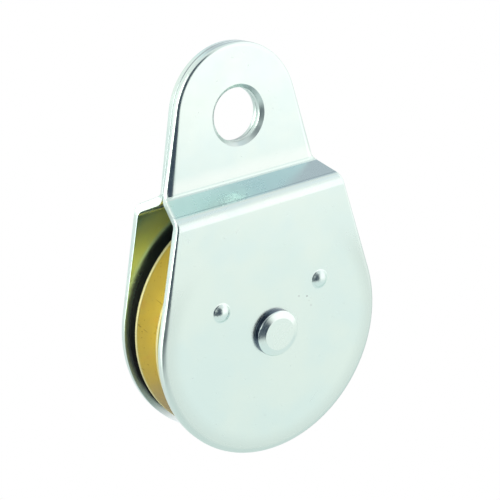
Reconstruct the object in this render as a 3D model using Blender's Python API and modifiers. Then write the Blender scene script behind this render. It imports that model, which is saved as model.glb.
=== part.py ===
"""Single-sheave rope pulley block with a fixed eye, in stamped and plated steel.

Metres, +Z up. The origin is the centre of the eye hole, halfway between the two cheeks, where
the block hangs. X runs across the block and Y runs along the axle, whose centre lies straight
below the eye. Each piece is drawn about the axle and carried by an empty on the axle's line.
"""
from math import acos, asin, atan2, ceil, cos, pi, radians, sin

import bmesh
import bpy
from mathutils import Vector

MM = 0.001

# Clearances
SEAT = 0.3 * MM                   # left between pieces that touch
RUNNING = 0.3 * MM                # between pieces that turn on each other

# Sheave: two dished halves, back to back, with a groove for a 10 mm rope
SHEAVE_RADIUS = 38.1 * MM
SHEAVE_WIDTH = 13.5 * MM          # over the two rims
SHEAVE_SHEET = 1.2 * MM
GROOVE_RADIUS = 5.2 * MM          # inside the groove's round bottom
GROOVE_DEPTH = 6.6 * MM           # from the rim to the middle of the rope
ROOT_BEND = 1.2 * MM              # inside radius where a half leaves the web
COLLAR_BEND = 0.8 * MM            # inside radius where the web turns into the collar

# Rivets through the sheave's web
WEB_RIVETS = 6
WEB_RIVET_RADIUS = 1.7 * MM
WEB_RIVET_HEAD_RADIUS = 3.2 * MM
WEB_RIVET_HEAD_HEIGHT = 1.5 * MM

# Axle, spacer tube, bushing and thrust washers
AXLE_RADIUS = 4.75 * MM
AXLE_HEAD_RADIUS = 7.45 * MM
AXLE_HEAD_SIDE = 1.2 * MM         # straight side of the head
AXLE_HEAD_SHOULDER = 1.8 * MM     # width of the slanted shoulder round its flat face
AXLE_HEAD_CROWN = 1.5 * MM        # height of that shoulder above the side
AXLE_HEAD_EASE = 0.3 * MM         # to each side of the corner at the flat face
AXLE_HEAD_LIP = 0.4 * MM          # between the slant and the straight side
SPACER_WALL = 1.6 * MM
BUSHING_WALL = 1.8 * MM
BUSHING_PROUD = 2.3 * MM          # beyond the collar of the sheave at each end
WASHER_THICKNESS = 1.6 * MM
WASHER_RIM = 3.4 * MM             # how far a washer reaches past the bushing's outside
TURNED_EDGE = 0.3 * MM            # broken edges of turned pieces

# Cheek plates
PLATE = 2.6 * MM
PLATE_EDGE = 0.5 * MM             # rounding of the sheared edges
CHEEK_SPACING = 19.8 * MM         # between the inner faces of the cheeks
CHEEK_COVER = 1.7 * MM            # cheek beyond the sheave's rim, all round
SHOULDER_CLEARANCE = 2.0 * MM     # flat cheek above the sheave's rim, up to the outer bend
SHOULDER_HALF_WIDTH = 29.9 * MM
SHOULDER_ROUNDING = 4.0 * MM
JOGGLE_ANGLE = radians(67.0)      # slope of the stretch between the two bends
OUTER_BEND = 1.5 * MM             # inside radius of the bend at the cheek
INNER_BEND = 1.1 * MM             # inside radius of the bend at the eye
NECK_TAPER = 2.7 * MM             # narrowing of each side across the joggle
NECK_ROUNDING = 9.0 * MM
EYE_RISE = 18.7 * MM              # eye hole's centre above the inner bend
EYE_HOLE_RADIUS = 8.0 * MM        # where it is narrowest
EYE_HOLE_ROUNDING = 1.15 * MM     # of the hole's edges, so that they don't chafe the rope
EYE_LIFT = 0.2 * MM               # centre of the eye's round top above the hole's centre
EYE_RADIUS = 21.2 * MM

# Dimples pressed out of each cheek
DIMPLE_OFFSET = 18.25 * MM        # to each side of the axle
DIMPLE_RISE = 12.1 * MM           # above the axle
DIMPLE_RADIUS = 2.85 * MM
DIMPLE_HEIGHT = 1.45 * MM
DIMPLE_WALL = 0.8 * MM            # ring of metal between the dome's foot and the recess
DIMPLE_FOOT = 0.65 * MM           # how deep the dome is rooted in the plate
DIMPLE_START = 1.3 * MM           # how far the recess is cut from inside the block

# Facets
ROUND_STEPS = 48                  # round the sheave and the axle's head
HUB_STEPS = 32                    # round the pieces on the axle
HOLE_STEPS = 40                   # round the eye hole
LIP_STEPS = 2                     # along each rounded edge of the eye hole
SMALL_STEPS = 12                  # round a rivet or a dimple
CROWN_STEPS = 4                   # from the middle of a domed top to its edge
BEND_STEPS = 5                    # along each bend of a cheek
ARC_STEP = radians(9.0)           # along the arcs of a cheek's outline
SECTION_STEP = radians(18.0)      # along the arcs of the sheave's groove
COLLAR_STEP = radians(36.0)       # along the bend into its collar
ROUND_OFF = 0.001                 # share of a step that is too little to add one
CREASE = radians(35.0)            # edges sharper than this stay crisp
WELD = 0.001 * MM                 # points closer than this are one

# Sizes that follow from the ones above
HALF_SPACING = CHEEK_SPACING / 2
CHEEK_RADIUS = SHEAVE_RADIUS + CHEEK_COVER
SHOULDER_HEIGHT = SHEAVE_RADIUS + SHOULDER_CLEARANCE
NECK_HALF_WIDTH = SHOULDER_HALF_WIDTH - NECK_TAPER
SPACER_BORE = AXLE_RADIUS + SEAT
SPACER_RADIUS = SPACER_BORE + SPACER_WALL
BUSHING_BORE = SPACER_RADIUS + RUNNING
BUSHING_RADIUS = BUSHING_BORE + BUSHING_WALL
WASHER_RADIUS = BUSHING_RADIUS + WASHER_RIM
WASHER_FACE = HALF_SPACING - SEAT
BUSHING_END = WASHER_FACE - WASHER_THICKNESS - RUNNING

# The same for the middle layer of a sheave half's sheet
WEB_MIDDLE = SEAT / 2 + SHEAVE_SHEET / 2
COLLAR_RADIUS = BUSHING_RADIUS + SEAT + SHEAVE_SHEET / 2
COLLAR_CURVE = COLLAR_BEND + SHEAVE_SHEET / 2
ROOT_CURVE = ROOT_BEND + SHEAVE_SHEET / 2
GROOVE_CURVE = GROOVE_RADIUS + SHEAVE_SHEET / 2
ROPE_CIRCLE = SHEAVE_RADIUS - GROOVE_DEPTH
ROOT_ANGLE = pi - asin((WEB_MIDDLE + ROOT_CURVE) / (GROOVE_CURVE + ROOT_CURVE))
WEB_START = COLLAR_RADIUS + COLLAR_CURVE
WEB_END = ROPE_CIRCLE + (GROOVE_CURVE + ROOT_CURVE) * cos(ROOT_ANGLE)
WEB_RIVET_CIRCLE = (WEB_START + WEB_END) / 2


class Joggle:
    """Section through a cheek plate, from the flat cheek over two bends to the flat eye.

    The blank is drawn flat: s runs up it, and n is the distance out from its middle layer.
    """

    def __init__(self):
        outer = OUTER_BEND + PLATE / 2
        inner = INNER_BEND + PLATE / 2
        self.cheek_out = HALF_SPACING + PLATE / 2
        self.eye_out = SEAT / 2 + PLATE / 2
        drop = self.cheek_out - self.eye_out
        self.slope = (drop - (outer + inner) * (1 - cos(JOGGLE_ANGLE))) / sin(JOGGLE_ANGLE)
        self.eye_start = (SHOULDER_HEIGHT + (outer + inner) * sin(JOGGLE_ANGLE)
                          + self.slope * cos(JOGGLE_ANGLE))

        self.stations = []
        for step in range(BEND_STEPS + 1):
            angle = JOGGLE_ANGLE * step / BEND_STEPS
            out = self.cheek_out - outer * (1 - cos(angle))
            up = SHOULDER_HEIGHT + outer * sin(angle)
            self.stations.append((SHOULDER_HEIGHT + outer * angle, out, up, angle))
        slope_end = self.stations[-1][0] + self.slope
        for step in range(BEND_STEPS + 1):
            angle = JOGGLE_ANGLE * (1 - step / BEND_STEPS)
            out = self.eye_out + inner * (1 - cos(angle))
            up = self.eye_start - inner * sin(angle)
            self.stations.append((slope_end + inner * (JOGGLE_ANGLE - angle), out, up, angle))

        self.shoulder = (self.stations[0][0] + self.stations[BEND_STEPS][0]) / 2
        self.neck = (self.stations[BEND_STEPS + 1][0] + self.stations[-1][0]) / 2
        self.eye_hole = self.stations[-1][0] + EYE_RISE

    def fold(self, s, n):
        """The outward and upward place of a point of the flat blank."""
        first, last = self.stations[0], self.stations[-1]
        if s <= first[0]:
            return self.cheek_out + n, s
        if s >= last[0]:
            return self.eye_out + n, last[2] + s - last[0]
        for low, high in zip(self.stations, self.stations[1:]):
            if s <= high[0]:
                share = (s - low[0]) / (high[0] - low[0])
                ends = [(out + n * cos(angle), up + n * sin(angle))
                        for _, out, up, angle in (low, high)]
                return tuple(a + (b - a) * share for a, b in zip(*ends))


JOGGLE = Joggle()
EYE_ABOVE_AXLE = JOGGLE.eye_start + EYE_RISE


def clear_scene():
    for item in list(bpy.data.objects):
        bpy.data.objects.remove(item, do_unlink=True)


def collection(name):
    made = bpy.data.collections.new(name)
    bpy.context.scene.collection.children.link(made)
    return made


def material(name, colour, roughness):
    """A plated or bare metal; colour is linear."""
    made = bpy.data.materials.new(name)
    made.use_nodes = True
    shader = made.node_tree.nodes["Principled BSDF"]
    shader.inputs["Base Color"].default_value = (*colour, 1.0)
    shader.inputs["Metallic"].default_value = 1.0
    shader.inputs["Roughness"].default_value = roughness
    return made


def place(name, data, parts, finish, carrier, turn=0.0):
    """Adds an object on the axle's line, turned about the vertical."""
    item = bpy.data.objects.new(name, data)
    parts.objects.link(item)
    item.parent = carrier
    item.rotation_euler.z = turn
    if finish:
        item.data.materials.append(finish)
    return item


def make_cutter(name, data, cutters, carrier):
    """A cutter that moves with the piece that it cuts."""
    item = place(name, data, cutters, None, carrier)
    item.hide_render = True
    item.display_type = "WIRE"
    return item


def add_boolean(item, cutter, operation):
    modifier = item.modifiers.new(cutter.name, "BOOLEAN")
    modifier.solver = "EXACT"
    modifier.operation = operation
    modifier.object = cutter


def evaluated_mesh(item):
    """A new mesh of what an object looks like with its modifiers on."""
    bpy.context.view_layer.update()
    evaluated = item.evaluated_get(bpy.context.evaluated_depsgraph_get())
    return bpy.data.meshes.new_from_object(evaluated)


def freeze(item):
    """Applies an object's modifiers and shades it smooth between its crisp edges."""
    mesh = evaluated_mesh(item)
    mesh.name = item.name
    mesh.shade_smooth()
    mesh.set_sharp_from_angle(angle=CREASE)
    item.modifiers.clear()
    item.data = mesh


def arc(centre, radius, start, end, step=ARC_STEP):
    """Points along an arc, both ends included; angles run counterclockwise from +X."""
    steps = max(2, ceil(abs(end - start) / step - ROUND_OFF))
    angles = [start + (end - start) * i / steps for i in range(steps + 1)]
    return [(centre[0] + radius * cos(a), centre[1] + radius * sin(a)) for a in angles]


def tangent_angle(centre, radius, point, side):
    """Where on a circle the line from a point touches it, on one side or the other."""
    away = Vector(point) - Vector(centre)
    return atan2(away.y, away.x) + side * acos(radius / away.length)


def on_circle(centre, radius, angle):
    return centre[0] + radius * cos(angle), centre[1] + radius * sin(angle)


def fillet(before, corner, after, radius):
    """The arc that rounds one corner of an outline."""
    corner = Vector(corner)
    back = (Vector(before) - corner).normalized()
    ahead = (Vector(after) - corner).normalized()
    half = acos(max(-1.0, min(1.0, back.dot(ahead)))) / 2
    centre = corner + (back + ahead).normalized() * radius / sin(half)
    touch_in = corner + back * radius * cos(half) / sin(half) - centre
    touch_out = corner + ahead * radius * cos(half) / sin(half) - centre
    start = atan2(touch_in.y, touch_in.x)
    sweep = (atan2(touch_out.y, touch_out.x) - start + pi) % (2 * pi) - pi
    return arc(centre, radius, start, start + sweep)


def profile_mesh(name, points, closed):
    """Edges through points given as (distance from the axis, height along it)."""
    count = len(points)
    edges = [(i, i + 1) for i in range(count - 1)]
    if closed:
        edges.append((count - 1, 0))
    mesh = bpy.data.meshes.new(name)
    mesh.from_pydata([(r, 0.0, h) for r, h in points], edges, [])
    return mesh


def add_screw(item, steps):
    """Turns an object's profile about its own Z axis."""
    screw = item.modifiers.new("Turned", "SCREW")
    screw.steps = steps
    screw.render_steps = steps
    screw.use_merge_vertices = True
    screw.merge_threshold = WELD


def ring_profile(inner, outer, low, high, edge):
    """Section of a plain ring with broken edges, down its outer side."""
    return [(inner, high - edge), (inner + edge, high), (outer - edge, high), (outer, high - edge),
            (outer, low + edge), (outer - edge, low), (inner + edge, low), (inner, low + edge)]


def turned(name, points, closed, steps, parts, finish, carrier, facing):
    """A turned piece whose axis lies along Y; facing is +1 for up its axis at the back."""
    item = place(name, profile_mesh(name, points, closed), parts, finish, carrier)
    item.rotation_euler.x = -facing * pi / 2
    add_screw(item, steps)
    return item


def blank_outline():
    """Outline of the flat cheek blank, counterclockwise from its lowest point."""
    axle = (0.0, 0.0)
    eye = (0.0, JOGGLE.eye_hole + EYE_LIFT)
    shoulder = (SHOULDER_HALF_WIDTH, JOGGLE.shoulder)
    neck = (NECK_HALF_WIDTH, JOGGLE.neck)
    cheek_end = tangent_angle(axle, CHEEK_RADIUS, shoulder, -1)
    eye_begin = tangent_angle(eye, EYE_RADIUS, neck, 1)
    right = arc(axle, CHEEK_RADIUS, -pi / 2, cheek_end)
    right += fillet(right[-1], shoulder, neck, SHOULDER_ROUNDING)
    right += fillet(shoulder, neck, on_circle(eye, EYE_RADIUS, eye_begin), NECK_ROUNDING)
    right += arc(eye, EYE_RADIUS, eye_begin, pi / 2)
    left = [(-x, s) for x, s in reversed(right[1:-1])]
    return right + left


def add_spline(curve, points):
    spline = curve.splines.new("POLY")
    spline.points.add(len(points) - 1)
    for point, (x, y) in zip(spline.points, points):
        point.co = (x, y, 0.0, 1.0)
    spline.use_cyclic_u = True


def circle_points(centre, radius):
    return arc(centre, radius, 0.0, 2 * pi)[:-1]


def blank_mesh():
    """The flat blank with its axle hole and rounded edges, as a mesh."""
    curve = bpy.data.curves.new("cheek_blank", "CURVE")
    curve.dimensions = "2D"
    curve.fill_mode = "BOTH"
    curve.extrude = PLATE / 2 - PLATE_EDGE
    curve.bevel_depth = PLATE_EDGE
    curve.bevel_resolution = 0
    curve.offset = -PLATE_EDGE
    add_spline(curve, blank_outline())
    add_spline(curve, circle_points((0.0, 0.0), AXLE_RADIUS + SEAT))
    drawn = bpy.data.objects.new("cheek_blank", curve)
    bpy.context.scene.collection.objects.link(drawn)
    mesh = evaluated_mesh(drawn)
    bpy.data.objects.remove(drawn, do_unlink=True)
    bpy.data.curves.remove(curve)
    return mesh


def cheek_mesh(name):
    """The blank, creased along its bend lines and folded over the joggle."""
    mesh = blank_mesh()
    mesh.name = name
    shape = bmesh.new()
    shape.from_mesh(mesh)
    bmesh.ops.remove_doubles(shape, verts=shape.verts, dist=WELD)
    for station, _, _, _ in JOGGLE.stations:
        geometry = shape.verts[:] + shape.edges[:] + shape.faces[:]
        bmesh.ops.bisect_plane(shape, geom=geometry, dist=WELD,
                               plane_co=(0.0, station, 0.0), plane_no=(0.0, 1.0, 0.0))
    for vertex in shape.verts:
        across, s, n = vertex.co
        out, up = JOGGLE.fold(s, n)
        vertex.co = (across, -out, up)
    bmesh.ops.recalc_face_normals(shape, faces=shape.faces)
    shape.to_mesh(mesh)
    shape.free()
    return mesh


def cap_profile(radius, height, foot):
    """Section of a round-topped cap that stands in the plate, down its outer side."""
    sphere = (radius ** 2 + height ** 2) / (2 * height)
    half = acos((sphere - height) / sphere)
    angles = [half * i / CROWN_STEPS for i in range(CROWN_STEPS + 1)]
    points = [(sphere * sin(a), sphere * cos(a) - sphere + height) for a in angles]
    return points + [(radius, -foot), (0.0, -foot)]


def dimple_cutter(name, points, side, depth, cutters, carrier):
    """A cap that points outwards at one dimple, with its foot in the cheek."""
    item = make_cutter(name, profile_mesh(name, points, False), cutters, carrier)
    item.location = (side * DIMPLE_OFFSET, depth, DIMPLE_RISE)
    item.rotation_euler.x = pi / 2
    add_screw(item, SMALL_STEPS)
    return item


def eye_cutter(name, cutters, carrier):
    """A waisted plug that cuts the eye hole with both of its edges rounded."""
    lip = EYE_HOLE_RADIUS + EYE_HOLE_ROUNDING
    face = PLATE / 2
    end = PLATE
    curve = [pi / 2 * i / LIP_STEPS for i in range(LIP_STEPS + 1)]
    waist = [(lip - EYE_HOLE_ROUNDING * sin(a), face - EYE_HOLE_ROUNDING * (1 - cos(a)))
             for a in curve]
    half = [(0.0, end), (lip, end)] + waist
    points = half + [(r, -h) for r, h in reversed(half)]
    item = make_cutter(name, profile_mesh(name, points, False), cutters, carrier)
    item.location = (0.0, -JOGGLE.eye_out, EYE_ABOVE_AXLE)
    item.rotation_euler.x = pi / 2
    add_screw(item, HOLE_STEPS)
    return item


def cheek_plate(name, turn, parts, cutters, finish, carrier):
    """One stamped cheek with its half of the eye and two dimples pressed outwards."""
    plate = place(name, cheek_mesh(name), parts, finish, carrier, turn)
    add_boolean(plate, eye_cutter(f"{name}_eye", cutters, plate), "DIFFERENCE")
    outer_face = -(HALF_SPACING + PLATE)
    inner_face = -HALF_SPACING
    dome = cap_profile(DIMPLE_RADIUS, DIMPLE_HEIGHT, DIMPLE_FOOT)
    recess = cap_profile(DIMPLE_RADIUS - DIMPLE_WALL, DIMPLE_HEIGHT, DIMPLE_START)
    for side, label in ((-1, "left"), (1, "right")):
        bump = dimple_cutter(f"{name}_dome_{label}", dome, side, outer_face, cutters, plate)
        add_boolean(plate, bump, "UNION")
        hollow = dimple_cutter(f"{name}_recess_{label}", recess, side, inner_face, cutters, plate)
        add_boolean(plate, hollow, "DIFFERENCE")
    return plate


def sheave_section():
    """Middle layer of one dished half, from the collar's end out to the rim."""
    collar_bend = (WEB_START, WEB_MIDDLE + COLLAR_CURVE)
    root_bend = (WEB_END, WEB_MIDDLE + ROOT_CURVE)
    rope = (ROPE_CIRCLE, 0.0)
    rim = (SHEAVE_RADIUS, SHEAVE_WIDTH / 2 - SHEAVE_SHEET / 2)
    flank = tangent_angle(rope, GROOVE_CURVE, rim, 1)

    points = [(COLLAR_RADIUS, BUSHING_END - BUSHING_PROUD)]
    points += arc(collar_bend, COLLAR_CURVE, pi, 1.5 * pi, COLLAR_STEP)
    points += arc(root_bend, ROOT_CURVE, -pi / 2, ROOT_ANGLE - pi, SECTION_STEP)
    points += arc(rope, GROOVE_CURVE, ROOT_ANGLE, flank, SECTION_STEP)[1:]
    return points + [rim]


def sheave_half(name, facing, parts, drill, finish, carrier):
    """One pressed half of the sheave: collar, web, groove and flange in one sheet."""
    half = turned(name, sheave_section(), False, ROUND_STEPS, parts, finish, carrier, facing)
    sheet = half.modifiers.new("Sheet", "SOLIDIFY")
    sheet.thickness = SHEAVE_SHEET
    sheet.offset = 0.0
    sheet.use_even_offset = True
    add_boolean(half, drill, "DIFFERENCE")
    return half


def rivet_places():
    """Where the web rivets lie, as (across, up) from the axle's centre."""
    angles = [2 * pi * (i + 0.5) / WEB_RIVETS for i in range(WEB_RIVETS)]
    return [(WEB_RIVET_CIRCLE * sin(a), WEB_RIVET_CIRCLE * cos(a)) for a in angles]


def rivet_drill(cutters, carrier):
    """One cutter with a drill for each web rivet."""
    mesh = bpy.data.meshes.new("rivet_drill")
    shape = bmesh.new()
    for across, up in rivet_places():
        made = bmesh.ops.create_cone(shape, cap_ends=True, segments=SMALL_STEPS,
                                     radius1=WEB_RIVET_RADIUS + SEAT,
                                     radius2=WEB_RIVET_RADIUS + SEAT, depth=SHEAVE_WIDTH)
        bmesh.ops.translate(shape, verts=made["verts"], vec=(across, up, 0.0))
    shape.to_mesh(mesh)
    shape.free()
    drill = make_cutter("rivet_drill", mesh, cutters, carrier)
    drill.rotation_euler.x = pi / 2
    return drill


def rivet_profile():
    """Section of a web rivet, round-headed at both ends, down its outer side."""
    under = WEB_MIDDLE + SHEAVE_SHEET / 2 + SEAT
    angles = [pi / 2 * i / CROWN_STEPS for i in range(CROWN_STEPS + 1)]
    upper = [(WEB_RIVET_HEAD_RADIUS * sin(a), under + WEB_RIVET_HEAD_HEIGHT * cos(a))
             for a in angles]
    upper.append((WEB_RIVET_RADIUS, under))
    return upper + [(r, -h) for r, h in reversed(upper)]


def web_rivets(parts, finish, carrier):
    """The rivets through the web, each its own piece."""
    mesh = profile_mesh("web_rivet", rivet_profile(), False)
    mesh.materials.append(finish)
    for number, (across, up) in enumerate(rivet_places(), 1):
        rivet = place(f"sheave_rivet_{number}", mesh, parts, None, carrier)
        rivet.location = (across, 0.0, up)
        rivet.rotation_euler.x = pi / 2
        add_screw(rivet, SMALL_STEPS)


def axle_profile():
    """Section of the axle, a rod upset into a shouldered head at each end."""
    under = HALF_SPACING + PLATE + SEAT
    side = under + AXLE_HEAD_SIDE
    crown = side + AXLE_HEAD_CROWN
    flat = AXLE_HEAD_RADIUS - AXLE_HEAD_SHOULDER
    slant_end = Vector((AXLE_HEAD_RADIUS - AXLE_HEAD_LIP, side + AXLE_HEAD_LIP))
    corner = Vector((flat, crown))
    eased = corner + (slant_end - corner).normalized() * AXLE_HEAD_EASE
    top = [(0.0, crown), (flat - AXLE_HEAD_EASE, crown), (eased.x, eased.y),
           (slant_end.x, slant_end.y), (AXLE_HEAD_RADIUS, side),
           (AXLE_HEAD_RADIUS, under + TURNED_EDGE), (AXLE_HEAD_RADIUS - TURNED_EDGE, under),
           (AXLE_RADIUS, under)]
    return top + [(r, -h) for r, h in reversed(top)]


def main():
    clear_scene()
    parts = collection("rope_pulley_block")
    cutters = collection("cutters")

    zinc = material("zinc_plate", (0.66, 0.74, 0.71), 0.18)
    yellow_zinc = material("yellow_zinc_plate", (0.52, 0.38, 0.08), 0.32)
    bronze = material("sintered_bronze", (0.42, 0.26, 0.10), 0.45)
    steel = material("bare_steel", (0.42, 0.42, 0.41), 0.30)

    axle_line = bpy.data.objects.new("axle_line", None)
    parts.objects.link(axle_line)
    axle_line.location.z = -EYE_ABOVE_AXLE
    sheave_spin = bpy.data.objects.new("sheave_spin", None)
    parts.objects.link(sheave_spin)
    sheave_spin.parent = axle_line

    cheek_plate("front_cheek_plate", 0.0, parts, cutters, zinc, axle_line)
    cheek_plate("rear_cheek_plate", pi, parts, cutters, zinc, axle_line)
    turned("axle_rivet", axle_profile(), False, ROUND_STEPS, parts, zinc, axle_line, -1)

    spacer = ring_profile(SPACER_BORE, SPACER_RADIUS, SEAT - HALF_SPACING, HALF_SPACING - SEAT,
                          TURNED_EDGE)
    turned("spacer_tube", spacer, True, HUB_STEPS, parts, steel, axle_line, -1)
    washer = ring_profile(BUSHING_BORE, WASHER_RADIUS, WASHER_FACE - WASHER_THICKNESS,
                          WASHER_FACE, TURNED_EDGE)
    turned("front_thrust_washer", washer, True, HUB_STEPS, parts, steel, axle_line, -1)
    turned("rear_thrust_washer", washer, True, HUB_STEPS, parts, steel, axle_line, 1)

    bushing = ring_profile(BUSHING_BORE, BUSHING_RADIUS, -BUSHING_END, BUSHING_END, TURNED_EDGE)
    turned("hub_bushing", bushing, True, HUB_STEPS, parts, bronze, sheave_spin, -1)
    drill = rivet_drill(cutters, sheave_spin)
    sheave_half("front_sheave_half", -1, parts, drill, yellow_zinc, sheave_spin)
    sheave_half("rear_sheave_half", 1, parts, drill, yellow_zinc, sheave_spin)
    web_rivets(parts, yellow_zinc, sheave_spin)

    for item in parts.objects:
        if item.type == "MESH":
            freeze(item)
    for cutter in list(cutters.objects):
        bpy.data.objects.remove(cutter, do_unlink=True)
    bpy.data.collections.remove(cutters)


main()
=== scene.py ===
"""Looks of the rope pulley block: finer pieces, plated metals, studio surroundings and the camera.

Metres, in the part's own frame: the origin is the centre of the eye hole, +Z is up, +Y runs along
the axle to the rear, and +X is to the right seen from the front.
"""
from math import acos, asin, atan2, ceil, cos, pi, radians, sin, tan

import bmesh
import bpy
from mathutils import Matrix, Vector


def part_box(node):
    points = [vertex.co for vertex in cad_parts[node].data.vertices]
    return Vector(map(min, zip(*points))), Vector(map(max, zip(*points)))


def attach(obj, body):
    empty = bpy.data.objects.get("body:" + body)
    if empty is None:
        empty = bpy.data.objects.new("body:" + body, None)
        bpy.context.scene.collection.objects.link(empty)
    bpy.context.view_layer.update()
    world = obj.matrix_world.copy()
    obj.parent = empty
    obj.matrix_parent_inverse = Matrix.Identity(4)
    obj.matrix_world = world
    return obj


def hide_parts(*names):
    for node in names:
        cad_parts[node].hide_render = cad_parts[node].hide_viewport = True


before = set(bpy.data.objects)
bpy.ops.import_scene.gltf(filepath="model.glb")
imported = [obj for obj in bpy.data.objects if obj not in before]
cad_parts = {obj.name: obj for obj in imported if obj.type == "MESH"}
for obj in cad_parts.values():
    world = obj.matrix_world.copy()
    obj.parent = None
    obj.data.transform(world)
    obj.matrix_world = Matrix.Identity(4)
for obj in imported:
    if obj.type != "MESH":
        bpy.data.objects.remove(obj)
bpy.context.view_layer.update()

MM = 0.001

# The axle's line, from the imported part
AXLE_LOW, AXLE_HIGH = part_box("axle_rivet")
AXLE_Z = (AXLE_LOW.z + AXLE_HIGH.z) / 2

# Clearances, as in the part
SEAT = 0.3 * MM
RUNNING = 0.3 * MM

# Sheave
SHEAVE_RADIUS = 38.1 * MM
SHEAVE_WIDTH = 13.5 * MM
SHEAVE_SHEET = 1.2 * MM
SHEAVE_RIM_ROUNDING = 0.35 * MM
GROOVE_RADIUS = 5.2 * MM
GROOVE_DEPTH = 6.6 * MM
ROOT_BEND = 1.2 * MM
COLLAR_BEND = 0.8 * MM
WEB_RIVETS = 6
WEB_RIVET_RADIUS = 1.7 * MM
WEB_RIVET_HEAD_RADIUS = 3.2 * MM
WEB_RIVET_HEAD_HEIGHT = 1.5 * MM

# Axle, spacer tube, bushing and thrust washers
AXLE_RADIUS = 4.75 * MM
AXLE_HEAD_RADIUS = 7.45 * MM
AXLE_HEAD_SIDE = 1.2 * MM
AXLE_HEAD_SHOULDER = 1.8 * MM
AXLE_HEAD_CROWN = 1.5 * MM
AXLE_HEAD_LIP = 0.4 * MM
FRONT_HEAD_SHOULDER = 2.2 * MM    # the front head is upset flatter than the rear one
FRONT_HEAD_CROWN = 1.1 * MM
FRONT_HEAD_LIP = 0.3 * MM
HEAD_OFFSET = 0.2 * MM            # of the front head to the right, from the axle's line
HEAD_SQUASH = 0.97                # its height as a share of its width
AXLE_HEAD_EASE = 0.45 * MM
TIGHT = 0.03 * MM                 # crevice under a riveted head, and each plate's half of the eye's seam
SPACER_WALL = 1.6 * MM
BUSHING_WALL = 1.8 * MM
BUSHING_PROUD = 2.3 * MM
WASHER_THICKNESS = 1.6 * MM
WASHER_RIM = 3.4 * MM
TURNED_EDGE = 0.3 * MM

# Cheek plates
PLATE = 2.6 * MM
CHEEK_SPACING = 19.8 * MM
CHEEK_COVER = 1.7 * MM
SHOULDER_CLEARANCE = 2.0 * MM
SHOULDER_HALF_WIDTH = 29.9 * MM
SHOULDER_ROUNDING = 4.0 * MM
JOGGLE_ANGLE = radians(67.0)
OUTER_BEND = 1.5 * MM
INNER_BEND = 1.1 * MM
NECK_TAPER = 2.7 * MM
NECK_ROUNDING = 9.0 * MM
EYE_RISE = 18.7 * MM
EYE_HOLE_RADIUS = 8.0 * MM
EYE_HOLE_LIP = 1.2 * MM           # width of the coined lip round the eye hole
EYE_HOLE_ROUNDING = 0.5 * MM      # from the lip into the hole's wall
EYE_HOLE_BURR = 0.25 * MM         # rounding at the hole's far edge
COINED_ANGLE = radians(42.0)
EYE_LIFT = 0.2 * MM               # of the eye's outline over the centre of its hole
EYE_RADIUS = 21.2 * MM
DIMPLE_OFFSET = 18.25 * MM
DIMPLE_RISE = 12.1 * MM
DIMPLE_RADIUS = 2.85 * MM
DIMPLE_HEIGHT = 1.45 * MM
DIMPLE_WALL = 0.8 * MM

# Finish of the sheared plates: the punch rolls the outer edge over, and the inner one stays sharper
ROLLED_WIDTH = 1.7 * MM
ROLLED_DEPTH = 1.05 * MM
DEEPEST_ROLL = 1.7                # limit of that depth's share
CHEEK_ROLL = 1.1                  # share of the rolled edge round the cheek
BEND_THINNING = 0.5               # its share over the bends
CHEEK_ROLL_RUN = 28.0 * MM        # over which it grows from that, down the cheek
SWELLING = 1.75                   # its share beside the eye, just above the bend
SWELLING_RISE = 1.0 * MM          # over which it swells, at the end of the bend
TOP_ROLL = 0.8                    # its least share, round the top of the eye
SHEARED_EDGE = 0.12 * MM          # rounding of the inner edge
SUPPORT = 0.15 * MM               # flat rim beside each rounded edge, which keeps its shading apart
DIMPLE_FILLET = 0.25 * MM
FILLET_FOOT = (0.35, 0.16)        # points on a dimple's fillet, across and up, as shares of its size
FILLET_TOP = (-0.2, 0.42)

# Facets
ROUND_STEPS = 160
SMALL_STEPS = 48
BEND_STEPS = 18
EDGE_STEPS = 6
DOME_STEPS = 10
ARC_STEP = radians(3.0)
SECTION_STEP = radians(6.0)
CORNER_STEP = SECTION_STEP * 3    # round the small edges of a section
OUTLINE_STEP = 2.2 * MM           # along the straight stretches of the cheek's outline
MITRE_LIMIT = 0.5                 # least cosine that an inset corner is stretched by
CREASE = radians(35.0)
WELD = 0.001 * MM

# Sizes that follow from the ones above
HALF_SPACING = CHEEK_SPACING / 2
CHEEK_RADIUS = SHEAVE_RADIUS + CHEEK_COVER
SHOULDER_HEIGHT = SHEAVE_RADIUS + SHOULDER_CLEARANCE
NECK_HALF_WIDTH = SHOULDER_HALF_WIDTH - NECK_TAPER
SPACER_BORE = AXLE_RADIUS + SEAT
SPACER_RADIUS = SPACER_BORE + SPACER_WALL
BUSHING_BORE = SPACER_RADIUS + RUNNING
BUSHING_RADIUS = BUSHING_BORE + BUSHING_WALL
WASHER_RADIUS = BUSHING_RADIUS + WASHER_RIM
WASHER_FACE = HALF_SPACING - SEAT
BUSHING_END = WASHER_FACE - WASHER_THICKNESS - RUNNING
WEB_MIDDLE = SEAT / 2 + SHEAVE_SHEET / 2
COLLAR_RADIUS = BUSHING_RADIUS + SEAT + SHEAVE_SHEET / 2
COLLAR_CURVE = COLLAR_BEND + SHEAVE_SHEET / 2
ROOT_CURVE = ROOT_BEND + SHEAVE_SHEET / 2
GROOVE_CURVE = GROOVE_RADIUS + SHEAVE_SHEET / 2
ROPE_CIRCLE = SHEAVE_RADIUS - GROOVE_DEPTH
ROOT_ANGLE = pi - asin((WEB_MIDDLE + ROOT_CURVE) / (GROOVE_CURVE + ROOT_CURVE))
WEB_START = COLLAR_RADIUS + COLLAR_CURVE
WEB_END = ROPE_CIRCLE + (GROOVE_CURVE + ROOT_CURVE) * cos(ROOT_ANGLE)
WEB_RIVET_CIRCLE = (WEB_START + WEB_END) / 2

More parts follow.
